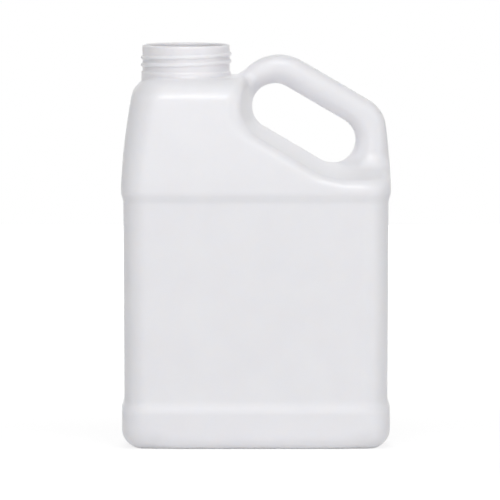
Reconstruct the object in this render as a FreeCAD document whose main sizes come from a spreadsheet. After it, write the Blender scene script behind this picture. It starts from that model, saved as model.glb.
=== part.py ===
# A gallon jug of blow-moulded polyethylene, open at the top.
# One hollow shell: an outer form less a cavity form, which is the same shape set in by the wall.
# Frame: millimetres, +Z up, origin under the middle of the body, +X towards the handle.
# The two halves of the jug meet in the plane Y = 0.
import FreeCAD, Part
import Sketcher
import math
import os
from types import SimpleNamespace

SIZES = [
    # body: half sizes at the ridge below the shoulder, and how far the other levels stand in from it
    ("ridge_half_width", 93.0),
    ("ridge_half_depth", 53.5),
    ("skirt_inset", 0.7),
    ("panel_foot_inset", 2.35),
    ("panel_head_inset", 1.6),
    # body: heights, from the base up to the skirt and ledge, from the shoulder down to the ridge
    ("shoulder_height", 255.0),
    ("skirt_height", 25.6),
    ("ledge_rise", 6.2),
    ("shoulder_rise", 78.2),
    ("ridge_band", 1.2),
    ("ridge_rise", 5.5),
    ("side_lean", 2.4),
    ("side_arc_radius", 440.0),
    ("corner_radius", 14.0),
    ("shoulder_corner_radius", 20.0),
    ("shoulder_radius", 15.4),
    ("foot_radius", 13.8),
    ("wall_thickness", 1.0),
    # slot for the fingers: two round ends joined by tangents, placed from the side and the shoulder
    ("slot_side_gap", 40.28),
    ("slot_run", 39.65),
    ("slot_upper_drop", 20.6),
    ("slot_fall", 23.2),
    ("slot_radius", 15.74),
    # recess round the slot, drafted from the parting plane
    ("recess_draft", 11.5),
    ("recess_edge_radius", 9.5),
    # handle: its outline seen from the front, and its roundings
    ("grip_thickness", 20.46),
    ("handle_half_depth", 12.0),
    ("grip_outer_radius", 7.8),
    ("grip_inner_radius", 6.8),
    ("crown_shift", 2.83),
    ("crown_extra_radius", 15.86),
    ("crown_root_depth", 4.0),
    ("handle_root_reach", 8.0),
    ("handle_foot_rise", 0.6),
    ("bend_radius", 24.0),
    ("handle_lean", 1.6),
    ("handle_side_inset", 0.05),
    # neck and its screw thread, placed from the other side and the shoulder
    ("neck_side_gap", 44.9),
    ("neck_radius", 30.04),
    ("neck_wall", 2.4),
    ("neck_root_depth", 15.0),
    ("neck_height", 21.8),
    ("collar_step", 0.76),
    ("collar_height", 3.5),
    ("lip_radius", 0.9),
    ("thread_depth", 1.16),
    ("thread_root_bite", 0.4),
    ("thread_start_rise", 7.9),
    ("thread_pitch", 5.08),
    ("thread_turns", 2.0),
    ("thread_root_width", 3.0),
    ("thread_crest_width", 1.2),
    # how far a cutting form runs past what it cuts
    ("overrun", 15.0),
]


class Size:
    """A size known twice: as a number for a sketch's first guess, and as an expression on the sheet."""

    def __init__(self, value, text):
        self.value = value
        self.text = text

    def joined(self, other, sign, result):
        text = other.text if isinstance(other, Size) else str(other)
        return Size(result, f"({self.text} {sign} {text})")

    def __add__(self, other):
        return self.joined(other, "+", self.value + number(other))

    def __sub__(self, other):
        return self.joined(other, "-", self.value - number(other))

    def __mul__(self, other):
        return self.joined(other, "*", self.value * number(other))

    def __truediv__(self, other):
        return self.joined(other, "/", self.value / number(other))

    def sine(self):
        return Size(math.sin(math.radians(self.value)), f"sin({self.text} * 1 deg)")

    def cosine(self):
        return Size(math.cos(math.radians(self.value)), f"cos({self.text} * 1 deg)")

    def tangent(self):
        return Size(math.tan(math.radians(self.value)), f"tan({self.text} * 1 deg)")


def number(size):
    return size.value if isinstance(size, Size) else size


doc = FreeCAD.newDocument("jug")
sheet = doc.addObject("Spreadsheet::Sheet", "sizes")
for row, (alias, value) in enumerate(SIZES, start=1):
    sheet.set(f"A{row}", alias)
    sheet.set(f"B{row}", str(value))
    sheet.setAlias(f"B{row}", alias)
doc.recompute()
s = SimpleNamespace(**{alias: Size(value, f"sizes.{alias}") for alias, value in SIZES})
NOTHING = Size(0.0, "0")

# sizes that follow from the driving ones
ledge_height = s.skirt_height + s.ledge_rise
ridge_head_height = s.shoulder_height - s.shoulder_rise
ridge_foot_height = ridge_head_height - s.ridge_band
panel_head_height = ridge_foot_height - s.ridge_rise
slot_lower_x = s.ridge_half_width - s.slot_side_gap
slot_upper_x = slot_lower_x - s.slot_run
slot_upper_height = s.shoulder_height - s.slot_upper_drop
slot_lower_height = slot_upper_height - s.slot_fall
crown_x = slot_upper_x + s.crown_shift
neck_offset = s.ridge_half_width - s.neck_side_gap
rim_height = s.shoulder_height + s.neck_height


# ---------------------------------------------------------------- sketches

def new_body(name):
    return doc.addObject("PartDesign::Body", name)


def new_sketch(body, name, role, lift=None):
    """A sketch on one of the body's own origin planes, raised along the plane's normal by `lift`."""
    plane = next(item for item in body.Origin.OriginFeatures if item.Role == role)
    sketch = body.newObject("Sketcher::SketchObject", name)
    sketch.AttachmentSupport = [(plane, "")]
    sketch.MapMode = "FlatFace"
    if lift is not None:
        sketch.setExpression("AttachmentOffset.Base.z", lift.text)
    return sketch


def point(x, y):
    return FreeCAD.Vector(number(x), number(y), 0.0)


def line(start, end):
    return Part.LineSegment(start, end)


def arc(centre, radius, first_angle, last_angle):
    """A counterclockwise arc, its angles in degrees."""
    circle = Part.Circle(centre, FreeCAD.Vector(0, 0, 1), number(radius))
    return Part.ArcOfCircle(circle, math.radians(first_angle), math.radians(last_angle))


def constrain(sketch, kind, *places):
    sketch.addConstraint(Sketcher.Constraint(kind, *places))


def dimension(sketch, name, kind, places, size):
    """A named dimension whose value is the size's expression on the sheet."""
    index = sketch.addConstraint(Sketcher.Constraint(kind, *places, size.value))
    sketch.renameConstraint(index, name)
    sketch.setExpression(f"Constraints.{name}", size.text)


def rounded_rectangle(body, name, height, half_width, half_depth, radius):
    """A level section of the body: a rectangle about the origin with four equal round corners."""
    sketch = new_sketch(body, name, "XY_Plane", height)
    x, y, r = half_width.value, half_depth.value, radius.value
    inner_x, inner_y = x - r, y - r
    sketch.addGeometry([
        line(point(x, -inner_y), point(x, inner_y)),
        arc(point(inner_x, inner_y), r, 0, 90),
        line(point(inner_x, y), point(-inner_x, y)),
        arc(point(-inner_x, inner_y), r, 90, 180),
        line(point(-x, inner_y), point(-x, -inner_y)),
        arc(point(-inner_x, -inner_y), r, 180, 270),
        line(point(-inner_x, -y), point(inner_x, -y)),
        arc(point(inner_x, -inner_y), r, 270, 360),
    ], False)
    for index in range(8):
        constrain(sketch, "Tangent", index, 2, (index + 1) % 8, 1)
    constrain(sketch, "Symmetric", 0, 1, 0, 2, -1)
    constrain(sketch, "Symmetric", 2, 1, 2, 2, -2)
    constrain(sketch, "Vertical", 4)
    constrain(sketch, "Horizontal", 6)
    for index in (3, 5, 7):
        constrain(sketch, "Equal", 1, index)
    dimension(sketch, "half_width", "DistanceX", (-1, 1, 0, 1), half_width)
    dimension(sketch, "half_depth", "DistanceY", (-1, 1, 2, 1), half_depth)
    dimension(sketch, "corner", "Radius", (1,), radius)
    return sketch


def slot_directions():
    """Unit vectors along the slot, down to its lower end, and square to it, up towards the grip."""
    run = point(slot_lower_x - slot_upper_x, slot_lower_height - slot_upper_height)
    run.normalize()
    return run, FreeCAD.Vector(-run.y, run.x, 0.0)


def slot_ends():
    upper = point(slot_upper_x, slot_upper_height)
    lower = point(slot_lower_x, slot_lower_height)
    return upper, lower


def place_slot_end(sketch, name, places, x, height):
    dimension(sketch, f"{name}_x", "DistanceX", (-1, 1, *places), x)
    dimension(sketch, f"{name}_height", "DistanceY", (-1, 1, *places), height)


def slot_sketch(body, name, inset):
    """The slot's outline, seen from the front."""
    sketch = new_sketch(body, name, "XZ_Plane")
    radius = s.slot_radius + inset
    upper, lower = slot_ends()
    run, rise = slot_directions()
    out = rise * radius.value
    facing = math.degrees(math.atan2(rise.y, rise.x))
    sketch.addGeometry([
        line(upper + out, lower + out),
        arc(lower, radius, facing - 180, facing),
        line(upper - out, lower - out),
        arc(upper, radius, facing, facing + 180),
    ], False)
    constrain(sketch, "Tangent", 0, 2, 1, 2)
    constrain(sketch, "Tangent", 2, 2, 1, 1)
    constrain(sketch, "Tangent", 2, 1, 3, 2)
    constrain(sketch, "Tangent", 0, 1, 3, 1)
    constrain(sketch, "Equal", 1, 3)
    place_slot_end(sketch, "upper", (3, 3), slot_upper_x, slot_upper_height)
    place_slot_end(sketch, "lower", (1, 3), slot_lower_x, slot_lower_height)
    dimension(sketch, "end", "Radius", (1,), radius)
    return sketch


def recess_sketch(body, name, inset):
    """The outline of the recess at the parting plane: up the slot's left end, along under the
    slot, out to the right below its lower end, and closed well outside the body."""
    sketch = new_sketch(body, name, "XZ_Plane")
    radius = s.slot_radius + inset
    far = s.ridge_half_width + s.overrun
    top = rim_height + s.overrun
    upper, lower = slot_ends()
    run, rise = slot_directions()
    out = rise * radius.value
    facing = math.degrees(math.atan2(-rise.y, -rise.x)) % 360
    left = slot_upper_x - radius
    floor = slot_lower_height - radius
    sketch.addGeometry([
        line(point(left, top), point(left, slot_upper_height)),
        arc(upper, radius, 180, facing),
        line(upper - out, lower - out),
        arc(lower, radius, facing, 270),
        line(point(slot_lower_x, floor), point(far, floor)),
        line(point(far, floor), point(far, top)),
        line(point(far, top), point(left, top)),
    ], False)
    for index in range(4):
        constrain(sketch, "Tangent", index, 2, index + 1, 1)
    for index in (4, 5, 6):
        constrain(sketch, "Coincident", index, 2, (index + 1) % 7, 1)
    constrain(sketch, "Vertical", 0)
    constrain(sketch, "Horizontal", 4)
    constrain(sketch, "Vertical", 5)
    constrain(sketch, "Horizontal", 6)
    constrain(sketch, "Equal", 1, 3)
    place_slot_end(sketch, "upper", (1, 3), slot_upper_x, slot_upper_height)
    place_slot_end(sketch, "lower", (3, 3), slot_lower_x, slot_lower_height)
    dimension(sketch, "end", "Radius", (1,), radius)
    dimension(sketch, "far", "DistanceX", (-1, 1, 4, 2), far)
    dimension(sketch, "top", "DistanceY", (-1, 1, 5, 2), top)
    return sketch


def handle_sketch(body, name, inset):
    """The handle's outline seen from the front: crown, straight grip, bend and outer side, closed
    by a root that lies inside the body."""
    sketch = new_sketch(body, name, "XZ_Plane")
    upper, lower = slot_ends()
    run, rise = slot_directions()
    facing = math.degrees(math.atan2(rise.y, rise.x))
    offset = s.slot_radius + s.grip_thickness - inset
    crown_radius = s.slot_radius + s.crown_extra_radius - inset
    bend_radius = s.bend_radius - inset
    side_radius = s.side_arc_radius - inset
    side_drop = s.side_arc_radius * s.handle_lean.sine()
    side_centre_height = ridge_head_height - side_drop
    side_reach = s.side_arc_radius * s.handle_lean.cosine()
    side_centre_offset = side_reach - s.ridge_half_width + s.handle_side_inset
    root_height = s.shoulder_height - s.crown_root_depth - inset
    foot_height = ridge_foot_height + s.handle_foot_rise
    root_offset = crown_radius - crown_x + s.handle_root_reach
    # first guess: the crown's circle touches the line of the grip
    crown_drop = offset.value - crown_radius.value - (crown_x.value - upper.x) * rise.x
    crown = point(crown_x, upper.y + crown_drop / rise.y)
    # first guess: the bend's circle touches the line of the grip and the outer side's arc
    side = point(-side_centre_offset.value, side_centre_height.value)
    start = upper + rise * (offset.value - bend_radius.value)
    gap = start - side
    along = gap.dot(run)
    span = side_radius.value - bend_radius.value
    bend = start + run * (math.sqrt(along ** 2 - gap.dot(gap) + span ** 2) - along)
    outward = (bend - side).normalize()
    bend_angle = math.degrees(math.atan2(outward.y, outward.x))
    foot_angle = math.degrees(math.asin((foot_height.value - side.y) / side_radius.value))
    root_angle = 180 - math.degrees(math.asin((root_height.value - crown.y) / crown_radius.value))
    foot_x = side.x + side_radius.value * math.cos(math.radians(foot_angle))
    root_x = crown.x + crown_radius.value * math.cos(math.radians(root_angle))
    left = -root_offset.value
    sketch.addGeometry([
        arc(crown, crown_radius, facing, root_angle),
        line(crown + rise * crown_radius.value, bend + rise * bend_radius.value),
        arc(bend, bend_radius, bend_angle, facing),
        arc(side, side_radius, foot_angle, bend_angle),
        line(point(foot_x, foot_height), point(left, foot_height)),
        line(point(left, foot_height), point(left, root_height)),
        line(point(left, root_height), point(root_x, root_height)),
    ], False)
    sketch.addGeometry([line(upper, lower)], True)
    constrain(sketch, "Tangent", 0, 1, 1, 1)
    constrain(sketch, "Tangent", 1, 2, 2, 2)
    constrain(sketch, "Tangent", 2, 1, 3, 2)
    constrain(sketch, "Coincident", 3, 1, 4, 1)
    constrain(sketch, "Coincident", 4, 2, 5, 1)
    constrain(sketch, "Coincident", 5, 2, 6, 1)
    constrain(sketch, "Coincident", 6, 2, 0, 2)
    constrain(sketch, "Horizontal", 4)
    constrain(sketch, "Vertical", 5)
    constrain(sketch, "Horizontal", 6)
    constrain(sketch, "Parallel", 7, 1)
    place_slot_end(sketch, "upper", (7, 1), slot_upper_x, slot_upper_height)
    place_slot_end(sketch, "lower", (7, 2), slot_lower_x, slot_lower_height)
    dimension(sketch, "grip_offset", "Distance", (7, 1, 1), offset)
    dimension(sketch, "crown_radius", "Radius", (0,), crown_radius)
    dimension(sketch, "crown_x", "DistanceX", (-1, 1, 0, 3), crown_x)
    dimension(sketch, "bend_radius", "Radius", (2,), bend_radius)
    dimension(sketch, "side_radius", "Radius", (3,), side_radius)
    dimension(sketch, "side_offset", "DistanceX", (3, 3, -1, 1), side_centre_offset)
    dimension(sketch, "side_height", "DistanceY", (-1, 1, 3, 3), side_centre_height)
    dimension(sketch, "root_height", "DistanceY", (-1, 1, 0, 2), root_height)
    dimension(sketch, "foot_height", "DistanceY", (-1, 1, 3, 1), foot_height)
    dimension(sketch, "root_offset", "DistanceX", (5, 1, -1, 1), root_offset)
    return sketch


# ---------------------------------------------------------------- features

def fillet(body, name, base, edges, radius):
    feature = body.newObject("PartDesign::Fillet", name)
    feature.Base = (base, edges)
    feature.setExpression("Radius", radius.text)
    doc.recompute()
    return feature


def edges_where(shape, test):
    return [f"Edge{index}" for index, edge in enumerate(shape.Edges, start=1) if test(edge)]


def at_height(height):
    def test(edge):
        return all(abs(vertex.Z - height.value) < 1e-4 for vertex in edge.Vertexes)
    return test


def middle(edge):
    return edge.valueAt((edge.FirstParameter + edge.LastParameter) / 2)


def on_both(first, second):
    """True for an edge that lies in the skins of both shapes."""
    skins = [Part.Compound(first.Faces), Part.Compound(second.Faces)]

    def test(edge):
        vertex = Part.Vertex(middle(edge))
        return all(vertex.distToShape(skin)[0] < 1e-3 for skin in skins)
    return test


def loft(body, name, sketches, ruled):
    feature = body.newObject("PartDesign::AdditiveLoft", name)
    feature.Profile = sketches[0]
    feature.Sections = sketches[1:]
    feature.Ruled = ruled
    feature.Refine = False
    doc.recompute()
    return feature


def body_form(name, inset):
    """The jug's body without handle or neck: stepped carton below, leaning shoulder above, and the
    recess for the handle cut away down to the parting plane."""
    body = new_body(name)
    carton_levels = [
        (inset, s.skirt_inset),
        (s.skirt_height, s.skirt_inset),
        (ledge_height, s.panel_foot_inset),
        (panel_head_height, s.panel_head_inset),
        (ridge_foot_height, NOTHING),
        (ridge_head_height, NOTHING),
    ]
    carton = [
        rounded_rectangle(
            body, f"{name}_level_{index}", height,
            s.ridge_half_width - stand_in - inset,
            s.ridge_half_depth - stand_in - inset,
            s.corner_radius - inset)
        for index, (height, stand_in) in enumerate(carton_levels)
    ]
    loft(body, f"{name}_carton", carton, True)

    rise = s.shoulder_height - inset - ridge_head_height
    upper = []
    for index, share in enumerate((0.0, 1 / 3, 2 / 3, 1.0)):
        climb = rise * share
        lean = climb * s.side_lean.tangent() + climb * climb / (s.side_arc_radius * 2)
        corner = s.corner_radius + (s.shoulder_corner_radius - s.corner_radius) * share
        upper.append(rounded_rectangle(
            body, f"{name}_shoulder_{index}", ridge_head_height + climb,
            s.ridge_half_width - lean - inset,
            s.ridge_half_depth - lean - inset,
            corner - inset))
    top = loft(body, f"{name}_upper", upper, False)

    is_top = at_height(s.shoulder_height - inset)
    top = fillet(body, f"{name}_shoulder", top, edges_where(top.Shape, is_top), s.shoulder_radius - inset)
    is_foot = at_height(inset)
    whole = fillet(body, f"{name}_foot", top, edges_where(top.Shape, is_foot), s.foot_radius - inset)

    recess = body.newObject("PartDesign::Pocket", f"{name}_recess")
    recess.Profile = recess_sketch(body, f"{name}_recess_outline", inset)
    recess.SideType = "Two sides"
    reach = s.ridge_half_depth + s.overrun
    for side in ("", "2"):
        recess.setExpression(f"Length{side}", reach.text)
        recess.setExpression(f"TaperAngle{side}", s.recess_draft.text)
    recess.Refine = False
    doc.recompute()
    rim = edges_where(recess.Shape, on_both(whole.Shape, recess.AddSubShape))
    fillet(body, f"{name}_recess_edge", recess, rim, s.recess_edge_radius - inset)
    return body


def handle_form(name, inset):
    """The handle: a plate on the parting plane with the slot through it and both rims rounded."""
    body = new_body(name)
    half_depth = s.handle_half_depth - inset
    plate = body.newObject("PartDesign::Pad", f"{name}_plate")
    plate.Profile = handle_sketch(body, f"{name}_outline", inset)
    plate.SideType = "Symmetric"
    plate.setExpression("Length", (half_depth * 2).text)
    doc.recompute()
    slot = body.newObject("PartDesign::Pocket", f"{name}_slot")
    slot.Profile = slot_sketch(body, f"{name}_slot_outline", inset)
    slot.SideType = "Symmetric"
    slot.setExpression("Length", (half_depth * 4).text)
    doc.recompute()

    crown_radius = s.slot_radius + s.crown_extra_radius - inset
    root_line = (crown_x - crown_radius - s.handle_root_reach).value
    foot_line = (ridge_foot_height + s.handle_foot_rise).value
    root_top = (s.shoulder_height - s.crown_root_depth - inset).value

    def on_face(edge):
        return all(abs(abs(vertex.Y) - half_depth.value) < 1e-4 for vertex in edge.Vertexes) \
            and abs(edge.Vertexes[0].Y - edge.Vertexes[-1].Y) < 1e-4

    upper, lower = slot_ends()
    slot_radius = (s.slot_radius + inset).value

    def on_slot(edge):
        for vertex in edge.Vertexes:
            place = point(vertex.X, vertex.Z)
            nearest = min(abs(place.distanceToPoint(end) - slot_radius) for end in (upper, lower))
            if nearest > 1e-3:
                return False
        return on_face(edge)

    def on_outline(edge):
        centre = middle(edge)
        in_root = centre.x < root_line + 1e-3 or abs(centre.z - foot_line) < 1e-3
        in_root = in_root or abs(centre.z - root_top) < 1e-3 and centre.x < crown_x.value
        return on_face(edge) and not in_root and not on_slot(edge)

    outer = fillet(body, f"{name}_outer_rim", slot, edges_where(slot.Shape, on_outline),
                   s.grip_outer_radius - inset)
    fillet(body, f"{name}_inner_rim", outer, edges_where(outer.Shape, on_slot),
           s.grip_inner_radius - inset)
    return body


def revolve(body, name, sketch):
    feature = body.newObject("PartDesign::Revolution", name)
    feature.Profile = sketch
    feature.ReferenceAxis = (sketch, ["V_Axis"])
    feature.Angle = 360.0
    doc.recompute()
    return feature


def profile_sketch(body, name, corners):
    """A closed profile in the XZ plane through named corners, each (x, height)."""
    sketch = new_sketch(body, name, "XZ_Plane")
    places = [point(x, height) for x, height in corners]
    count = len(places)
    sketch.addGeometry([line(places[i], places[(i + 1) % count]) for i in range(count)], False)
    for index in range(count):
        constrain(sketch, "Coincident", index, 2, (index + 1) % count, 1)
    for index, (x, height) in enumerate(corners):
        order = (-1, 1, index, 1) if number(x) >= 0 else (index, 1, -1, 1)
        distance = x if number(x) >= 0 else NOTHING - x
        dimension(sketch, f"x_{index}", "DistanceX", order, distance)
        dimension(sketch, f"height_{index}", "DistanceY", (-1, 1, index, 1), height)
    return sketch


def neck_form():
    """The neck as a solid of revolution with a collar at its root and a screw thread round it."""
    body = new_body("neck")
    body.setExpression("Placement.Base.x", (NOTHING - neck_offset).text)
    root_height = s.shoulder_height - s.neck_root_depth
    collar_radius = s.neck_radius + s.collar_step
    collar_height = s.shoulder_height + s.collar_height
    profile = profile_sketch(body, "neck_profile", [
        (NOTHING, root_height),
        (collar_radius, root_height),
        (collar_radius, collar_height),
        (s.neck_radius, collar_height + s.collar_step),
        (s.neck_radius, rim_height),
        (NOTHING, rim_height),
    ])
    turned = revolve(body, "neck_wall", profile)
    fillet(body, "neck_lip", turned, edges_where(turned.Shape, at_height(rim_height)), s.lip_radius)
    start = s.shoulder_height + s.thread_start_rise
    root = s.thread_root_bite - s.neck_radius
    crest = NOTHING - s.neck_radius - s.thread_depth
    ridge = profile_sketch(body, "thread_profile", [
        (root, start - s.thread_root_width / 2),
        (crest, start - s.thread_crest_width / 2),
        (crest, start + s.thread_crest_width / 2),
        (root, start + s.thread_root_width / 2),
    ])
    thread = body.newObject("PartDesign::AdditiveHelix", "neck_thread")
    thread.Profile = ridge
    thread.ReferenceAxis = (ridge, ["V_Axis"])
    thread.Mode = "pitch-turns-angle"
    thread.setExpression("Pitch", s.thread_pitch.text)
    thread.setExpression("Turns", s.thread_turns.text)
    doc.recompute()
    return body


def bore_form():
    """The way in through the neck, flared by a small chamfer at the lip."""
    body = new_body("bore")
    body.setExpression("Placement.Base.x", (NOTHING - neck_offset).text)
    bore = s.neck_radius - s.neck_wall
    root_height = s.shoulder_height - s.neck_root_depth
    profile = profile_sketch(body, "bore_profile", [
        (NOTHING, root_height),
        (bore, root_height),
        (bore, rim_height - s.lip_radius),
        (bore + s.lip_radius / 2, rim_height - s.lip_radius / 3),
        (bore + s.lip_radius, rim_height),
        (bore + s.lip_radius, rim_height + s.overrun),
        (NOTHING, rim_height + s.overrun),
    ])
    revolve(body, "bore_wall", profile)
    return body


def fused(name, bodies):
    union = doc.addObject("Part::MultiFuse", name)
    union.Shapes = bodies
    union.Refine = False
    doc.recompute()
    return union


outer = fused("outer", [body_form("shell", NOTHING), handle_form("handle", NOTHING), neck_form()])
cavity = fused("cavity", [
    body_form("hollow", s.wall_thickness),
    handle_form("handle_hollow", s.wall_thickness),
    bore_form(),
])
jug = doc.addObject("Part::Cut", "jug")
jug.Label = "jug"
jug.Base = outer
jug.Tool = cavity
jug.Refine = False
doc.recompute()

for item in doc.Objects:
    if {"Invalid", "Error"} & set(item.State):
        raise RuntimeError(f"{item.Name} failed: {item.State}")
if jug.Shape.isNull() or not jug.Shape.isValid() or len(jug.Shape.Solids) != 1:
    raise RuntimeError("the jug is not one valid solid")

os.makedirs("parts", exist_ok=True)
jug.Shape.exportStep(f"parts/{jug.Label}.step")
half_side = 2 * number(s.ridge_half_width)
corner = FreeCAD.Vector(-half_side, -half_side, 0)
below_rim = Part.makeBox(2 * half_side, 2 * half_side, number(rim_height), corner)
capacity = cavity.Shape.common(below_rim).Volume
print(f"plastic {jug.Shape.Volume / 1e3:.1f} cm3, room inside to the brim {capacity / 1e6:.3f} litres")
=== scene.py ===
# %% [markdown]
# # An open gallon jug in blow-moulded polyethylene
# The jug is one hollow shell: a stepped carton with a leaning shoulder, a slanted handle through
# one corner and a screw neck near the other. It could be modelled by hand with subdivision
# surfaces, but every part of it follows a rule (flat panels, arcs and fillets), so Geometry Nodes
# hold that rule as a distance field and turn it into a smooth skin. Sizes are in millimetres times
# `mm`, because the scene is in metres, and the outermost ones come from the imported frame.

import math

import bmesh
import bpy
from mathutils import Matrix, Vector


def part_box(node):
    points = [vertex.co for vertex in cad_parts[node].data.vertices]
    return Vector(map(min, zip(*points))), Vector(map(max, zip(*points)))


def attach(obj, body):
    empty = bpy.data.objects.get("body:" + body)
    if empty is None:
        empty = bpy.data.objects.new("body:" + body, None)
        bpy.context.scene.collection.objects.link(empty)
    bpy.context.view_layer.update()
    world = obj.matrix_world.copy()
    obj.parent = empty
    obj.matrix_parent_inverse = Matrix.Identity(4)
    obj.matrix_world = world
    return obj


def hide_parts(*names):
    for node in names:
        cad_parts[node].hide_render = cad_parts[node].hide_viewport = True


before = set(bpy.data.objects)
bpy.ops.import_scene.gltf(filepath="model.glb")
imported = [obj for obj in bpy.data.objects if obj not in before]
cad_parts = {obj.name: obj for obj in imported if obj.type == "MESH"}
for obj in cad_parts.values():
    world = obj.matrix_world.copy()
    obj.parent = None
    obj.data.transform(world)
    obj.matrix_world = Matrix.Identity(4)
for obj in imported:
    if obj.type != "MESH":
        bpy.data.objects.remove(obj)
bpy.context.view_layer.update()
mm = 0.001
low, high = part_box("jug")
print("frame box, mm:", [round(v / mm, 2) for v in (*low, *high)])

# %% [markdown]
# ## The jug's sizes
# The frame gives the overall width, depth and height. The rest are the levels where the body
# steps, and the places and radii of the handle. On the real jug these are the mould maker's
# dimensions, so each has a name here and is written once.

# %% Sizes of the body
half_width = high.x
half_depth = high.y
rim_height = high.z
neck_height = 21.8 * mm
shoulder_rise = 78.2 * mm
shoulder_height = rim_height - neck_height
ridge_height = shoulder_height - shoulder_rise

body_sizes = {
    "Half width": half_width,
    "Half depth": half_depth,
    "Shoulder height": shoulder_height,
    "Ridge height": ridge_height,
    "Skirt stand-in": 0.7 * mm,
    "Panel foot stand-in": 2.35 * mm,
    "Panel head stand-in": 1.6 * mm,
    "Ledge foot": 25.8 * mm,
    "Ledge head": 31.6 * mm,
    "Ridge rise": 5.6 * mm,
    "Ridge band": 1.0 * mm,
    "Side lean": math.tan(math.radians(2.4)),
    "Side arc radius": 440 * mm,
    "Corner radius": 17 * mm,
    "Shoulder corner radius": 21 * mm,
    "Foot radius": 9 * mm,
    "Side foot radius": 13.8 * mm,
    "Side foot reach": 20 * mm,
    "Shoulder radius": 15.4 * mm,
}
print("shoulder at", round(shoulder_height / mm, 1), "mm, ridge at", round(ridge_height / mm, 1), "mm")

# %% [markdown]
# The fingers go through a slot, a slanted run with two round ends, which is the innermost line of
# the recess. The handle is measured from that slot's axis, so moving one end of the slot moves the
# recess and the handle with it. A draft is how far a wall leans for each unit of depth, and it lets
# the moulding leave the mould.

# %% Sizes of the slot, the recess round it and the handle
slot_radius = 15.74 * mm
slot_lower = Vector((half_width - 40.28 * mm, 0, shoulder_height - 43.8 * mm))
slot_upper = slot_lower + Vector((-39.65 * mm, 0, 23.2 * mm))
slot_run = (slot_lower - slot_upper).normalized()
slot_rise = Vector((-slot_run.z, 0, slot_run.x))
grip_line = slot_radius + 20.46 * mm

handle_sizes = {
    "Slot radius": slot_radius,
    "Recess draft": math.tan(math.radians(9.0)),
    "Crown extra draft": 0.13,
    "Leg extra draft": 0.058,
    "Recess edge radius": 6 * mm,
    "Grip line": grip_line,
    "Crown radius": 31.6 * mm,
    "Bend radius": 24 * mm,
    "Handle half depth": 12 * mm,
    "Grip rounding": 8.3 * mm,
    "Grip extra rounding": 3.4 * mm,
    "Crown root blend": 6 * mm,
    "Leg root blend": 11 * mm,
    "Leg root": 40 * mm,
    "Leg flare": 0.07,
    "Leg rounding": 0.15,
    "Parting rounding": 3 * mm,
}

# %% [markdown]
# Some of these sizes fade in: the crown's draft to the left of the slot's upper end, the leg's
# sizes round its lower end, the grip's depth just under its axis, and the rounding of the inner edge
# away from the slot. Each fade has a place where it starts and one where it is complete.

# %% Where the handle's sizes fade in
handle_sizes.update({
    "Crown draft from": 16 * mm,
    "Crown draft to": 38 * mm,
    "Leg from": -6 * mm,
    "Leg to": 12 * mm,
    "Leg flare from": 10 * mm,
    "Grip from": -14 * mm,
    "Grip to": -2 * mm,
    "Inner edge from": 4 * mm,
    "Inner edge to": 15 * mm,
    "Root blend from": -16 * mm,
    "Root blend growth": 1.1,
    "Least root blend": 0.3 * mm,
})
print("slot from", [round(v / mm, 1) for v in slot_upper], "to", [round(v / mm, 1) for v in slot_lower])

# %% [markdown]
# The outside of the handle is a crown arc, the straight grip, a bend and the body's own side arc,
# each touching the next. Their centres could be guessed and nudged until they meet, but two arcs
# that touch have their centres and their touching point on one line, which fixes them exactly.

# %% Centres of the handle's arcs
side_radius = body_sizes["Side arc radius"]
side_lean = math.radians(1.6)
side_centre = Vector((
    half_width - 0.05 * mm - side_radius * math.cos(side_lean),
    0,
    ridge_height - side_radius * math.sin(side_lean),
))
crown_x = slot_upper.x + 2.83 * mm
crown_drop = grip_line - handle_sizes["Crown radius"] - (crown_x - slot_upper.x) * slot_rise.x
crown_centre = Vector((crown_x, 0, slot_upper.z + crown_drop / slot_rise.z))

bend_start = slot_upper + slot_rise * (grip_line - handle_sizes["Bend radius"])
bend_gap = bend_start - side_centre
bend_along = bend_gap.dot(slot_run)
bend_span = side_radius - handle_sizes["Bend radius"]
bend_step = math.sqrt(bend_along ** 2 - bend_gap.length_squared + bend_span ** 2) - bend_along
bend_centre = bend_start + slot_run * bend_step
bend_out = (bend_centre - side_centre).normalized()

places = {
    "Slot upper end": slot_upper,
    "Slot lower end": slot_lower,
    "Crown centre": crown_centre,
    "Bend centre": bend_centre,
    "Bend tangent": Vector((-bend_out.z, 0, bend_out.x)),
    "Side centre": side_centre,
}
for name, place in places.items():
    handle_sizes[name + " x"] = place.x
    handle_sizes[name + " z"] = place.z
print("bend centre, mm:", [round(v / mm, 1) for v in bend_centre])

# %% [markdown]
# The neck is round and stands on the shoulder, at the end away from the handle. Its wall is thicker
# than the body's, because a cap has to seal on it. Only its root is listed here: the thread gets a
# mesh of its own later.

# %% Sizes of the neck
neck_x = -(half_width - 44.9 * mm)
neck_radius = 30.04 * mm
neck_wall = 2.4 * mm
collar_radius = neck_radius + 0.76 * mm
bore_radius = neck_radius - neck_wall
neck_sizes = {
    "Neck x": neck_x,
    "Neck root height": shoulder_height - 15 * mm,
    "Neck top": shoulder_height + 7 * mm,
}
print("neck axis at x =", round(neck_x / mm, 1), "mm, bore radius", round(bore_radius / mm, 1), "mm")

# %% [markdown]
# ## One function for nodes, and numbers that can be added
# `add_node` puts a node in a tree, with its settings and its links. `Number` wraps an output so
# that a rule with a hundred sums reads as sums: each `+`, `*` or `maximum` still goes through
# `add_node` and leaves an ordinary Math node in the tree.


# %% Helpers for node trees
def add_node(tree, kind, links=(), output=0, **settings):
    """Adds a node, sets its properties, links or fills its inputs, and returns one output."""
    node = tree.nodes.new(kind)
    for name, value in settings.items():
        setattr(node, name, value)
    pairs = links.items() if isinstance(links, dict) else enumerate(links)
    for key, value in pairs:
        source = value.socket if isinstance(value, Number) else value
        if isinstance(source, bpy.types.NodeSocket):
            tree.links.new(source, node.inputs[key])
        else:
            node.inputs[key].default_value = source
    return None if output is None else node.outputs[output]


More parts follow.
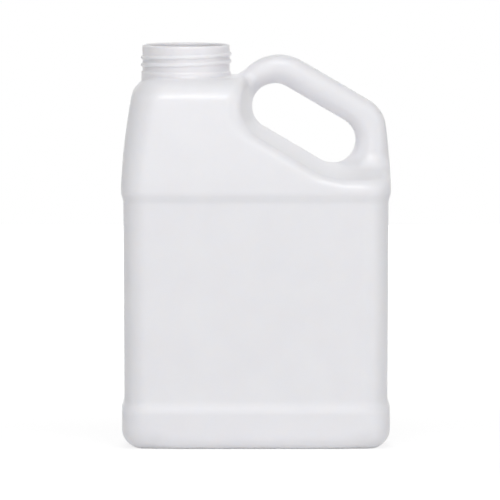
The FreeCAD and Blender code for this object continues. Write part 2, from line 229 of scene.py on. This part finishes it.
class Number:
    """An output of a node tree that takes part in sums."""

    def __init__(self, tree, socket):
        self.tree = tree
        self.socket = socket

    def math(self, operation, *others):
        """One Math node on this number and others."""
        inputs = (self, *others)
        return Number(self.tree, add_node(self.tree, "ShaderNodeMath", inputs, operation=operation))

    def __add__(self, other):
        return self.math("ADD", other)

    def __sub__(self, other):
        return self.math("SUBTRACT", other)

    def __mul__(self, other):
        return self.math("MULTIPLY", other)

    def __truediv__(self, other):
        return self.math("DIVIDE", other)

    def __neg__(self):
        return self.math("MULTIPLY", -1.0)

    def maximum(self, other):
        return self.math("MAXIMUM", other)

    def minimum(self, other):
        return self.math("MINIMUM", other)

    def length(self, other):
        """How long the line is that runs this far one way and `other` square to it."""
        return (self * self + other * other).math("SQRT")

    def step(self, first, last, shape="SMOOTHSTEP"):
        """0 below `first`, 1 above `last`, and an S-shaped or straight rise between them."""
        socket = add_node(
            self.tree, "ShaderNodeMapRange",
            {"Value": self, "From Min": first, "From Max": last}, interpolation_type=shape)
        return Number(self.tree, socket)

    def where(self, chosen, otherwise):
        """`chosen` where this number is above 0, `otherwise` elsewhere."""
        above = self.math("GREATER_THAN", 0.0)
        return above * chosen + (-above + 1.0) * otherwise


def rounded_cut(first, second, radius):
    """What lies inside both distances, with the edge between them rounded to `radius`."""
    corner = (first + radius).maximum(0.0).length((second + radius).maximum(0.0))
    return first.maximum(second).minimum(-radius) + corner


def rounded_join(first, second, radius):
    """What lies inside either distance, with the inner corner filled to `radius`."""
    return -rounded_cut(-first, -second, radius)


# %% [markdown]
# ## The rule for the skin
# A distance field gives every point of space its distance from the surface: below zero inside the
# jug, above zero outside. Simple shapes combine by taking the larger distance (a cut) or the
# smaller (a join), and the rounded versions of both make the fillets that a blown bottle has
# everywhere, because the soft tube that is blown up in the mould can't reach into a sharp corner.


# %% The carton and shoulder
def carton_rule(x, y, z, size):
    """Distance from the level outline of the body, and from the body closed at foot and shoulder."""
    climb = (z - size["Ridge height"]).maximum(0.0)
    lean = climb * size["Side lean"] + climb * climb / (size["Side arc radius"] * 2.0)
    ledge = z.step(size["Ledge foot"], size["Ledge head"], "LINEAR")
    ridge_head = size["Ridge height"] - size["Ridge band"]
    ridge_foot = ridge_head - size["Ridge rise"]
    ridge = z.step(ridge_foot, ridge_head, "LINEAR")
    panel_length = ridge_foot - size["Ledge head"]
    share = ((z - size["Ledge head"]) / panel_length).maximum(0.0).minimum(1.0)
    stand_in = size["Skirt stand-in"]
    stand_in = stand_in + ledge * (size["Panel foot stand-in"] - size["Skirt stand-in"])
    stand_in = stand_in - share * (size["Panel foot stand-in"] - size["Panel head stand-in"])
    stand_in = stand_in - ridge * size["Panel head stand-in"]
    inward = stand_in + lean
    rise = climb / (size["Shoulder height"] - size["Ridge height"])
    corner = size["Corner radius"]
    corner = corner + (size["Shoulder corner radius"] - corner) * rise.minimum(1.0)
    from_side = x.math("ABSOLUTE") - (size["Half width"] - inward - corner)
    from_front = y.math("ABSOLUTE") - (size["Half depth"] - inward - corner)
    outline = from_side.maximum(0.0).length(from_front.maximum(0.0))
    outline = outline + from_side.maximum(from_front).minimum(0.0) - corner
    at_side = from_side.step(-size["Side foot reach"], 0.0)
    foot = size["Foot radius"] + (size["Side foot radius"] - size["Foot radius"]) * at_side
    body = rounded_cut(outline, -z, foot)
    body = rounded_cut(body, z - size["Shoulder height"], size["Shoulder radius"])
    return outline, body


# %% [markdown]
# The handle's rules need to know where a point lies from the slot: how far along its axis, how far
# above it, and how far from its edge. These are worked out once, from the slot's two ends.


# %% Where a point lies from the slot
class FromSlot:
    """A point of the parting plane, measured from the slot's two round ends and its axis."""

    def __init__(self, x, z, size):
        span_x = size["Slot lower end x"] - size["Slot upper end x"]
        span_z = size["Slot lower end z"] - size["Slot upper end z"]
        length = span_x.length(span_z)
        self.run_x, self.run_z = span_x / length, span_z / length
        self.right_of_upper = x - size["Slot upper end x"]
        self.over_upper = z - size["Slot upper end z"]
        self.right_of_lower = x - size["Slot lower end x"]
        self.over_lower = z - size["Slot lower end z"]
        along = self.right_of_upper * self.run_x + self.over_upper * self.run_z
        self.above = self.over_upper * self.run_x - self.right_of_upper * self.run_z
        past_end = along - along.maximum(0.0).minimum(length)
        self.from_axis = past_end.length(self.above)
        self.from_edge = self.from_axis - size["Slot radius"]
        self.at_leg = self.right_of_lower.step(size["Leg from"], size["Leg to"])


# %% [markdown]
# The recess is where the two halves of the mould come together round the fingers. Its walls start
# at the slot's edge on the parting plane and lean out with the draft that lets the mould open. Seen
# from the front, it is everything above and to the right of a line that drops to the slot's upper
# end, follows the slot's axis and leaves level from its lower end, grown by the slot's radius.


# %% The recess
def recess_rule(y, size, slot, body):
    """The body with the recess cut away on both sides of the parting plane."""
    from_drop = slot.right_of_upper.length(slot.over_upper.minimum(0.0))
    from_floor = slot.right_of_lower.minimum(0.0).length(slot.over_lower)
    from_line = slot.from_axis.minimum(from_drop).minimum(from_floor)
    over_line = slot.right_of_upper.minimum(slot.over_lower).minimum(slot.above)
    into_body = over_line.where(-from_line, from_line) - size["Slot radius"]

    # depth from the parting plane, rounded where the two halves meet
    meeting = size["Parting rounding"]
    depth = (y * y + meeting * meeting).math("SQRT") - meeting
    at_crown = (-slot.right_of_upper).step(size["Crown draft from"], size["Crown draft to"])
    draft = size["Recess draft"] + at_crown * size["Crown extra draft"]
    draft = draft + slot.at_leg * size["Leg extra draft"]
    return rounded_cut(body, depth * draft - into_body, size["Recess edge radius"])


# %% [markdown]
# The handle's outline is four pieces that touch: the crown's arc, the straight grip, the bend's arc
# and the side's arc. Three lines square to the outline, one at each touching point, say which piece
# a point belongs to.


# %% The handle's outline
def handle_outline(x, z, size, slot):
    """Distance outside the handle's outline in the parting plane, and outside the side's arc."""
    def right_and_above(place):
        return x - size[place + " x"], z - size[place + " z"]

    crown_right, crown_above = right_and_above("Crown centre")
    bend_right, bend_above = right_and_above("Bend centre")
    side_right, side_above = right_and_above("Side centre")
    off_crown = crown_right.length(crown_above) - size["Crown radius"]
    off_bend = bend_right.length(bend_above) - size["Bend radius"]
    off_side = side_right.length(side_above) - size["Side arc radius"]
    off_line = slot.above - size["Grip line"]
    before_line = -(crown_right * slot.run_x + crown_above * slot.run_z)
    after_line = bend_right * slot.run_x + bend_above * slot.run_z
    above_side = bend_right * size["Bend tangent x"] + bend_above * size["Bend tangent z"]
    off_outline = after_line.minimum(above_side).where(off_bend, off_line.maximum(off_side))
    return before_line.where(off_crown, off_outline), off_side


# %% [markdown]
# The handle is the tube between that outline and the slot. It thins out to nothing under the slot,
# where the recess wall takes over. Its leg grows a little deeper and rounder on its way down, and
# melts into the body with a fillet, as blown plastic does.


# %% The handle
def handle_rule(x, y, z, size, outline, body):
    """The body with its recess cut away and the handle joined on."""
    slot = FromSlot(x, z, size)
    body = recess_rule(y, size, slot, body)
    off_outline, off_side = handle_outline(x, z, size, slot)

    round_grip = slot.above.step(size["Grip from"], size["Grip to"])
    down_leg = (-slot.over_lower + size["Leg flare from"]).maximum(0.0) * slot.at_leg
    half_tube = size["Handle half depth"] * round_grip.maximum(slot.at_leg)
    half_tube = half_tube + down_leg * size["Leg flare"]
    inside_grip = -slot.from_edge.step(size["Inner edge from"], size["Inner edge to"]) + 1.0
    rounding = size["Grip rounding"] + inside_grip * size["Grip extra rounding"]
    rounding = (rounding + down_leg * size["Leg rounding"]).minimum(half_tube)
    leg_end = -slot.over_lower - size["Leg root"]
    tube = off_outline.maximum(-slot.from_edge).maximum(leg_end)
    tube = rounded_cut(tube, y.math("ABSOLUTE") - half_tube, rounding)

    # the fillet at the roots grows with the distance from the slot, so that its edge stays crisp
    at_leg_root = slot.right_of_lower.step(size["Root blend from"], 0.0)
    widest = size["Crown root blend"]
    widest = widest + at_leg_root * (size["Leg root blend"] - size["Crown root blend"])
    blend = slot.from_edge * size["Root blend growth"]
    blend = blend.maximum(size["Least root blend"]).minimum(widest)
    side = (z - size["Ridge height"]).where(outline.minimum(off_side), outline)
    return rounded_join(body, tube, blend).maximum(side)


# %% [markdown]
# The neck is moulded in one with the shoulder, so its root is a short cylinder joined to it with
# a small fillet. Outside it is the collar's size and inside it is the bore, so the same rule makes
# the outer skin and, a wall's thickness further in, the inner one.


# %% The neck's root and the whole rule
def neck_rule(x, y, z, size, body):
    """The body with the plain cylinder of the neck's root joined on."""
    side = (x - size["Neck x"]).length(y) - size["Neck root radius"]
    ends = (z - size["Neck top"]).maximum(-z + size["Neck root height"])
    return rounded_join(body + size["Skin inset"], side.maximum(ends), size["Neck root blend"])


def jug_rule(place, size):
    """Distance of a point from the jug's skin."""
    outputs = add_node(place.tree, "ShaderNodeSeparateXYZ", (place,)).node.outputs
    x, y, z = (Number(place.tree, outputs[axis]) for axis in "XYZ")
    outline, body = carton_rule(x, y, z, size)
    body = handle_rule(x, y, z, size, outline, body)
    return neck_rule(x, y, z, size, body)


# %% [markdown]
# ## From the rule to a skin
# `Volume Cube` samples the rule on a grid of cells and `Volume to Mesh` wraps small faces round the
# places where the distance is zero. A density can't be negative, so the distance, counted in cells,
# is turned round and raised by a few cells, and that raised level is the skin's. The grid alone
# would leave faint steps, so the points are then slid along their normals by the distance that the
# rule still gives, three times over and each time a little short, which settles them on the true
# surface. The tree takes the plastic as an input, so the material is made here and painted later.


# %% Tree inputs and outputs
hdpe = bpy.data.materials.new("hdpe_blow_moulded")


def new_tree(name, sizes):
    """An empty geometry tree with one named input for each size, and one for the material."""
    tree = bpy.data.node_groups.new(name, "GeometryNodeTree")
    tree.interface.new_socket("Geometry", in_out="INPUT", socket_type="NodeSocketGeometry")
    tree.interface.new_socket("Geometry", in_out="OUTPUT", socket_type="NodeSocketGeometry")
    for label, value in sizes.items():
        kind = "NodeSocketInt" if isinstance(value, int) else "NodeSocketFloat"
        tree.interface.new_socket(label, in_out="INPUT", socket_type=kind)
    tree.interface.new_socket("Material", in_out="INPUT", socket_type="NodeSocketMaterial")
    group = tree.nodes.new("NodeGroupInput")
    inputs = {socket.name: Number(tree, socket) for socket in group.outputs if socket.name}
    return tree, inputs


def end_tree(tree, mesh, inputs):
    """Smooth shading, real geometry and the material come last in every tree."""
    smooth = add_node(tree, "GeometryNodeSetShadeSmooth", {"Geometry": mesh})
    real = add_node(tree, "GeometryNodeRealizeInstances", (smooth,))
    painted = add_node(
        tree, "GeometryNodeSetMaterial", {"Geometry": real, "Material": inputs["Material"]})
    tree.links.new(painted, tree.nodes.new("NodeGroupOutput").inputs[0])
    print(tree.name, "tree has", len(tree.nodes), "nodes")


# %% Run a tree
def grow(name, tree, sizes):
    """Runs a tree on an empty mesh with these sizes and returns the plain mesh it makes."""
    carrier = bpy.data.objects.new(name, bpy.data.meshes.new(name))
    bpy.context.scene.collection.objects.link(carrier)
    modifier = carrier.modifiers.new(name, "NODES")
    modifier.node_group = tree
    values = {**sizes, "Material": hdpe}
    for item in tree.interface.items_tree:
        if item.in_out == "INPUT" and item.name in values:
            modifier[item.identifier] = values[item.name]
    shown = carrier.evaluated_get(bpy.context.evaluated_depsgraph_get())
    mesh = bpy.data.meshes.new_from_object(shown)
    bpy.data.objects.remove(carrier)
    print(name, "has", len(mesh.polygons), "faces")
    return mesh


# %% The tree for a skin
margin = 4 * mm


def skin_tree(sizes):
    """Rule to volume, volume to mesh, then points slid onto the rule's zero level."""
    tree, size = new_tree("Jug skin", sizes)
    place = Number(tree, add_node(tree, "GeometryNodeInputPosition"))
    distance = jug_rule(place, size)
    skin_level = 3.0
    inside = (-distance / size["Voxel size"] + skin_level).maximum(0.0).minimum(2 * skin_level)
    cube = add_node(tree, "GeometryNodeVolumeCube", {
        "Density": inside,
        "Min": (low.x - margin, low.y - margin, low.z - margin),
        "Max": (high.x + margin, high.y + margin, high.z + margin),
        "Resolution X": size["Cells across"],
        "Resolution Y": size["Cells deep"],
        "Resolution Z": size["Cells high"],
    })
    mesh = add_node(tree, "GeometryNodeVolumeToMesh", {"Volume": cube, "Threshold": skin_level})
    normal = add_node(tree, "GeometryNodeInputNormal")
    for share in (0.7, 0.8, 0.9):
        slide = add_node(tree, "ShaderNodeVectorMath", {
            "Vector": normal, "Scale": -distance * share}, operation="SCALE")
        mesh = add_node(tree, "GeometryNodeSetPosition", {"Geometry": mesh, "Offset": slide})
    end_tree(tree, mesh, size)
    return tree


def skin_sizes(inset, root_radius, blend, voxel):
    """Every size that a skin needs, with the grid cells that fill the jug's box."""
    lengths = (b - a + 2 * margin for a, b in zip(low, high))
    across, deep, tall = (math.ceil(length / voxel) + 1 for length in lengths)
    return {
        **body_sizes, **handle_sizes, **neck_sizes,
        "Neck root radius": root_radius, "Neck root blend": blend, "Skin inset": inset,
        "Voxel size": voxel, "Cells across": across, "Cells deep": deep, "Cells high": tall,
    }


# %% Outer and inner skin
wall = 1.0 * mm
outer_sizes = skin_sizes(inset=0.0, root_radius=collar_radius, blend=1.2 * mm, voxel=1.8 * mm)
inner_sizes = skin_sizes(inset=wall, root_radius=bore_radius, blend=2.0 * mm, voxel=3.4 * mm)
skin = skin_tree(outer_sizes)
outer_mesh = grow("outer_skin", skin, outer_sizes)
inner_mesh = grow("inner_skin", skin, inner_sizes)

# %% [markdown]
# ## The neck finish
# "Finish" is the moulder's word for the part of a neck that takes the cap: its lip, its thread and
# the collar below. The thread stands only 1.2 mm proud, too fine for the skin's grid, so this part
# has a grid of its own, rolled into a tube: one way round is the angle, the other runs up the
# outside, over the lip and down the bore. The thread follows from the angle, as a helix does.

# %% Sizes of the finish
cut_height = shoulder_height + 2.3 * mm
finish_sizes = {
    "Neck x": neck_x,
    "Neck radius": neck_radius,
    "Neck wall": neck_wall,
    "Foot height": cut_height + 0.5 * mm,
    "Rim height": rim_height,
    "Collar step": collar_radius - neck_radius,
    "Collar top": shoulder_height + 3.5 * mm,
    "Collar slope": 0.3 * mm,
    "Thread depth": 1.16 * mm,
    "Thread start": shoulder_height + 7.9 * mm,
    "Thread pitch": 5.08 * mm,
    "Thread turns": 2.0,
    "Thread crest": 1.2 * mm,
    "Thread root": 3.0 * mm,
    "Thread lead-in": 0.14,
    "Thread run-out": 0.1,
    "Columns": 217,
    "Rows": 77,
}


# %% The tree for the finish
def finish_tree(sizes):
    """A flat grid rolled into the neck's profile, with the collar and the thread raised on it."""
    tree, size = new_tree("Neck finish", sizes)
    grid = add_node(tree, "GeometryNodeMeshGrid", {
        "Size X": 1.0, "Size Y": 1.0, "Vertices X": size["Columns"], "Vertices Y": size["Rows"]})
    outputs = add_node(tree, "ShaderNodeSeparateXYZ", (
        add_node(tree, "GeometryNodeInputPosition"),)).node.outputs
    turn = Number(tree, outputs["X"]) + 0.5
    along = Number(tree, outputs["Y"]) + 0.5

    lip = size["Neck wall"] / 2.0
    straight = size["Rim height"] - lip - size["Foot height"]
    over_lip = lip * math.pi
    bore_stretch = 3.0
    along = along * (straight + over_lip + straight / bore_stretch)
    bent = ((along - straight) / lip).maximum(0.0).minimum(math.pi)
    down = (along - straight - over_lip).maximum(0.0) * bore_stretch
    height = size["Foot height"] + along.minimum(straight) + bent.math("SINE") * lip - down
    radius = size["Neck radius"] - lip + bent.math("COSINE") * lip
    outside = -bent.step(0.0, 0.5) + 1.0
    slope = size["Collar slope"]
    over_collar = height.step(size["Collar top"] - slope, size["Collar top"] + slope)
    radius = radius + size["Collar step"] * (-over_collar + 1.0) * outside

    climbed = (height - size["Thread start"]) / size["Thread pitch"]
    turns = (climbed - turn).math("ROUND") + turn
    off_crest = ((climbed - turns) * size["Thread pitch"]).math("ABSOLUTE")
    ridge = -off_crest.step(size["Thread crest"] / 2.0, size["Thread root"] / 2.0) + 1.0
    fade_in = (turns + size["Thread lead-in"]).step(0.0, size["Thread run-out"])
    fade_out = (-turns + size["Thread turns"]).step(-0.02, size["Thread run-out"])
    radius = radius + size["Thread depth"] * ridge * fade_in * fade_out * outside

    angle = (turn + 0.5) * (2.0 * math.pi)
    ring = add_node(tree, "ShaderNodeCombineXYZ", (
        angle.math("COSINE") * radius + size["Neck x"], angle.math("SINE") * radius, height))
    tube = add_node(tree, "GeometryNodeSetPosition", {"Geometry": grid, "Position": ring})
    closed = add_node(tree, "GeometryNodeMergeByDistance", {"Geometry": tube, "Distance": 0.01 * mm})
    end_tree(tree, closed, size)
    return tree


finish_mesh = grow("neck_finish", finish_tree(finish_sizes), finish_sizes)

# %% [markdown]
# ## One shell
# The two skins are cut open level at the neck's root and each is bridged to the finish, the outer
# skin to its outside and the inner skin to its bore. That leaves one closed surface, so the wall is
# real: light and the eye go in at the mouth and meet the inside of the jug.


# %% Cut open
def neck_distance(co):
    """Level distance of a point from the neck's axis."""
    return math.hypot(co.x - neck_x, co.y)


def open_neck(shell, radius):
    """Cuts the neck's root level and puts the cut edge on a true circle."""
    beside, below = radius + 2 * mm, cut_height - 5 * mm
    near = [f for f in shell.faces if neck_distance(f.calc_center_median()) < beside]
    near = [f for f in near if f.calc_center_median().z > below]
    parts = {*near, *(e for f in near for e in f.edges), *(v for f in near for v in f.verts)}
    bmesh.ops.bisect_plane(
        shell, geom=list(parts), plane_co=(0, 0, cut_height), plane_no=(0, 0, 1), clear_outer=True)
    for vertex in shell.verts:
        if vertex.is_boundary:
            out = Vector((vertex.co.x - neck_x, vertex.co.y)).normalized() * radius
            vertex.co = (neck_x + out.x, out.y, cut_height)


# %% Bridge and close
def joined_shell():
    """One closed mesh from the two skins and the finish."""
    parts = []
    for mesh, radius in ((outer_mesh, collar_radius), (inner_mesh, bore_radius)):
        skin_part = bmesh.new()
        skin_part.from_mesh(mesh)
        open_neck(skin_part, radius)
        plain = bpy.data.meshes.new("cut_skin")
        skin_part.to_mesh(plain)
        skin_part.free()
        parts.append(plain)
    shell = bmesh.new()
    for mesh in (*parts, finish_mesh):
        shell.from_mesh(mesh)
    middle = (collar_radius + bore_radius) / 2
    edges = [e for e in shell.edges if e.is_boundary]
    for outside in (True, False):
        pair = [e for e in edges if (neck_distance(e.verts[0].co) > middle) == outside]
        bmesh.ops.bridge_loops(shell, edges=pair)
    bmesh.ops.recalc_face_normals(shell, faces=shell.faces)
    for face in shell.faces:
        face.smooth = True
    mesh = bpy.data.meshes.new("jug_shell")
    shell.to_mesh(mesh)
    open_edges = sum(not e.is_manifold for e in shell.edges)
    triangles = sum(len(f.verts) - 2 for f in shell.faces)
    plastic = shell.calc_volume(signed=True) * 1e6
    print("shell:", triangles, "triangles,", open_edges, "open edges,", round(plastic, 1), "cm3")
    shell.free()
    return mesh


jug_shell = bpy.data.objects.new("jug_shell", joined_shell())
bpy.context.scene.collection.objects.link(jug_shell)
jug_shell.data.materials.clear()
jug_shell.data.materials.append(hdpe)

# %% [markdown]
# ## The plastic
# The jug is high-density polyethylene, blown into a bead-blasted mould: milky, because light
# scatters inside it, with a waxy sheen and a slightly uneven wall. It could be a plain glossy white,
# but that would look painted, so light is let about a millimetre into the surface, which softens
# every edge of shade, and the sheen is broken up by the mould's fine grain. Real bead blasting is
# finer than that: the grain is drawn at 0.9 mm so that it can show at all. The waves, 26 mm long,
# are the unevenness that a blown wall has. 1.54 is polyethylene's index of refraction.


# %% Colours
def linear(hex_colour):
    """A colour written as sRGB hex, turned to the linear values that shaders use."""
    channels = (int(hex_colour[i:i + 2], 16) / 255 for i in (1, 3, 5))
    return [c / 12.92 if c <= 0.04045 else ((c + 0.055) / 1.055) ** 2.4 for c in channels] + [1.0]


# %% Blow-moulded HDPE
def paint_hdpe(material):
    """Milky white polyethylene with a waxy sheen, a fine mould texture and faint waves."""
    material.use_nodes = True
    tree = material.node_tree
    tree.nodes.clear()
    place = add_node(tree, "ShaderNodeTexCoord", output="Object")
    wave = add_node(tree, "ShaderNodeTexNoise", {
        "Vector": place, "Scale": 1 / (26 * mm), "Detail": 1.0, "Roughness": 0.4})
    grain = add_node(tree, "ShaderNodeTexNoise", {
        "Vector": place, "Scale": 1 / (0.9 * mm), "Detail": 2.0, "Roughness": 0.6})
    roughness = add_node(tree, "ShaderNodeMapRange", {
        "Value": grain, "To Min": 0.25, "To Max": 0.35})
    colour = add_node(tree, "ShaderNodeMix", {
        0: wave, 6: linear("#eeedf1"), 7: linear("#f3f2f5")}, output=2, data_type="RGBA")
    waves = add_node(tree, "ShaderNodeBump", {
        "Height": wave, "Strength": 0.25, "Distance": 0.5 * mm})
    relief = add_node(tree, "ShaderNodeBump", {
        "Height": grain, "Strength": 0.25, "Distance": 0.02 * mm, "Normal": waves})
    surface = add_node(tree, "ShaderNodeBsdfPrincipled", {
        "Base Color": colour, "Roughness": roughness, "IOR": 1.54, "Normal": relief,
        "Subsurface Weight": 1.0, "Subsurface Radius": (1.0, 0.95, 0.9),
        "Subsurface Scale": 1.2 * mm})
    add_node(tree, "ShaderNodeOutputMaterial", {"Surface": surface}, output=None)
    print(material.name, "has", len(tree.nodes), "nodes")


paint_hdpe(hdpe)

# %% [markdown]
# ## The stage
# The jug stands on white paper in white surroundings. White on white would be lost, so what the
# eye sees is kept apart from what lights the jug: camera, mirror and glass rays find pure white,
# and all others find a grey room, darker at the sides, which shades the jug's edges. In a studio, a
# white bottle gets its edges in the same way, from black cards to its left and right.


# %% Rays that reach the eye
def eye_rays(tree):
    """1 for rays from the camera, and for those mirrored or let through on their way to it."""
    light_path = tree.nodes.new("ShaderNodeLightPath")
    kinds = ("Is Camera Ray", "Is Glossy Ray", "Is Transmission Ray")
    straight, mirrored, through = (Number(tree, light_path.outputs[kind]) for kind in kinds)
    return straight.maximum(mirrored).maximum(through)


# %% [markdown]
# The paper is matt, with no sheen of its own. It glows for the rays that reach the eye and is dimly
# lit as well, so that it keeps a soft shadow where the jug stands. Further out the glow rises to
# full white, which hides the line where paper and surroundings meet. Light that bounces from it
# onto the jug comes from its true, nearly white colour.

# %% Paper
def paint_paper(material):
    """Matt white paper that fades to pure white away from the jug."""
    shade_seen, true_white = 0.25, 0.97
    near_glow, added_glow = 0.82, 0.2
    near, far = 0.3, 1.2
    material.use_nodes = True
    tree = material.node_tree
    tree.nodes.clear()
    seen = eye_rays(tree)
    paper = add_node(tree, "ShaderNodeBsdfDiffuse", {"Color": seen.where(shade_seen, true_white)})
    place = add_node(tree, "ShaderNodeTexCoord", output="Object")
    distance = Number(tree, add_node(tree, "ShaderNodeVectorMath", (place,), 1, operation="LENGTH"))
    strength = seen * (distance.step(near, far) * added_glow + near_glow)
    glow = add_node(tree, "ShaderNodeEmission", {"Color": linear("#ffffff"), "Strength": strength})
    both = add_node(tree, "ShaderNodeAddShader", (paper, glow))
    add_node(tree, "ShaderNodeOutputMaterial", {"Surface": both}, output=None)
    print(material.name, "has", len(tree.nodes), "nodes")


paper_white = bpy.data.materials.new("paper_white")
paint_paper(paper_white)

# %% Floor
floor_shape = bmesh.new()
bmesh.ops.create_grid(floor_shape, x_segments=1, y_segments=1, size=3.0)
floor = bpy.data.objects.new("floor", bpy.data.meshes.new("floor"))
floor_shape.to_mesh(floor.data)
floor_shape.free()
floor.data.materials.append(paper_white)
bpy.context.scene.collection.objects.link(floor)
print("floor is", floor.dimensions.x, "m wide")

# %% [markdown]
# The surroundings light the jug evenly from everywhere, so that no side of it goes black. Their
# strength falls towards left and right, by how far sideways a ray points.

# %% Surroundings
world = bpy.data.worlds.new("studio")
bpy.context.scene.world = world
world.use_nodes = True
sky = world.node_tree
sky.nodes.clear()
toward = add_node(sky, "ShaderNodeTexCoord", output="Generated")
sideways = Number(sky, add_node(sky, "ShaderNodeSeparateXYZ", (toward,))).math("ABSOLUTE")
room_light = 0.43
side_loss = 0.33
strength = -(sideways.step(0.2, 0.9) * side_loss) + room_light
strength = eye_rays(sky).where(1.0, strength)
backdrop = add_node(sky, "ShaderNodeBackground", {"Color": linear("#ffffff"), "Strength": strength})
add_node(sky, "ShaderNodeOutputWorld", {"Surface": backdrop}, output=None)
print("room light", room_light, "in front,", round(room_light - side_loss, 2), "at the sides")

# %% [markdown]
# Five soft boxes: the key lamp draws the bright line along ledge, recess and shoulder, the front
# lamp fills the broad panel, the side lamp marks the upright edge on the handle's side, the top lamp
# lights the shoulder and the back lamp keeps the far side from going dark. The back lamp isn't
# mirrored, because at a grazing angle it would glare in the recess.


# %% Lamps
def soft_box(name, azimuth, elevation, distance, width, height, power):
    """A lamp that faces the middle of the jug: degrees round and up, metres, then watts."""
    lamp = bpy.data.lights.new(name, "AREA")
    lamp.shape = "RECTANGLE"
    lamp.size = width
    lamp.size_y = height
    lamp.energy = power
    holder = bpy.data.objects.new(name, lamp)
    bpy.context.scene.collection.objects.link(holder)
    azimuth, elevation = math.radians(azimuth), math.radians(elevation)
    away = Vector((
        math.sin(azimuth) * math.cos(elevation),
        -math.cos(azimuth) * math.cos(elevation),
        math.sin(elevation)))
    holder.location = Vector((0, 0, rim_height / 2)) + away * distance
    holder.rotation_euler = away.to_track_quat("Z", "Y").to_euler()
    print(name, power, "W")
    return holder


soft_box("key_lamp", 2, 45, 2.6, 0.8, 0.8, 16)
soft_box("front_lamp", -8, 20, 3.0, 2.4, 2.4, 17)
soft_box("side_lamp", 46, 12, 2.6, 0.5, 1.8, 7)
soft_box("top_lamp", 0, 76, 2.6, 1.6, 1.6, 9)
back_lamp = soft_box("back_lamp", 180, 18, 3.0, 2.4, 2.4, 30)
back_lamp.visible_glossy = False

# %% [markdown]
# ## The camera
# An orthographic camera keeps the jug's sides parallel, as a very long lens does in a catalogue
# picture. It looks down by about three degrees, enough to see the far side of the mouth. Standard
# view transform shows each colour as it is written.

# %% Camera
camera = bpy.data.objects.new("camera", bpy.data.cameras.new("camera"))
bpy.context.scene.collection.objects.link(camera)
bpy.context.scene.camera = camera
look_at = Vector((-4.1 * mm, 0, 135 * mm))
camera_tilt = math.radians(2.9)
camera.data.type = "ORTHO"
camera.data.ortho_scale = 344.5 * mm
camera.data.clip_end = 60
camera_distance = 2.0
camera_away = Vector((0, -math.cos(camera_tilt), math.sin(camera_tilt)))
camera.location = look_at + camera_distance * camera_away
camera.rotation_euler = (math.pi / 2 - camera_tilt, 0, 0)
bpy.context.scene.view_settings.view_transform = "Standard"
print("camera sees", round(camera.data.ortho_scale / mm, 1), "mm across")

# %% [markdown]
# ## Hand the jug to the frame
# The real jug is one piece of plastic with nothing that moves, so the shell rides on its one body
# and stands for its one CAD solid.

# %% Ride, replace and finish
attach(jug_shell, "root")
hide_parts("jug")
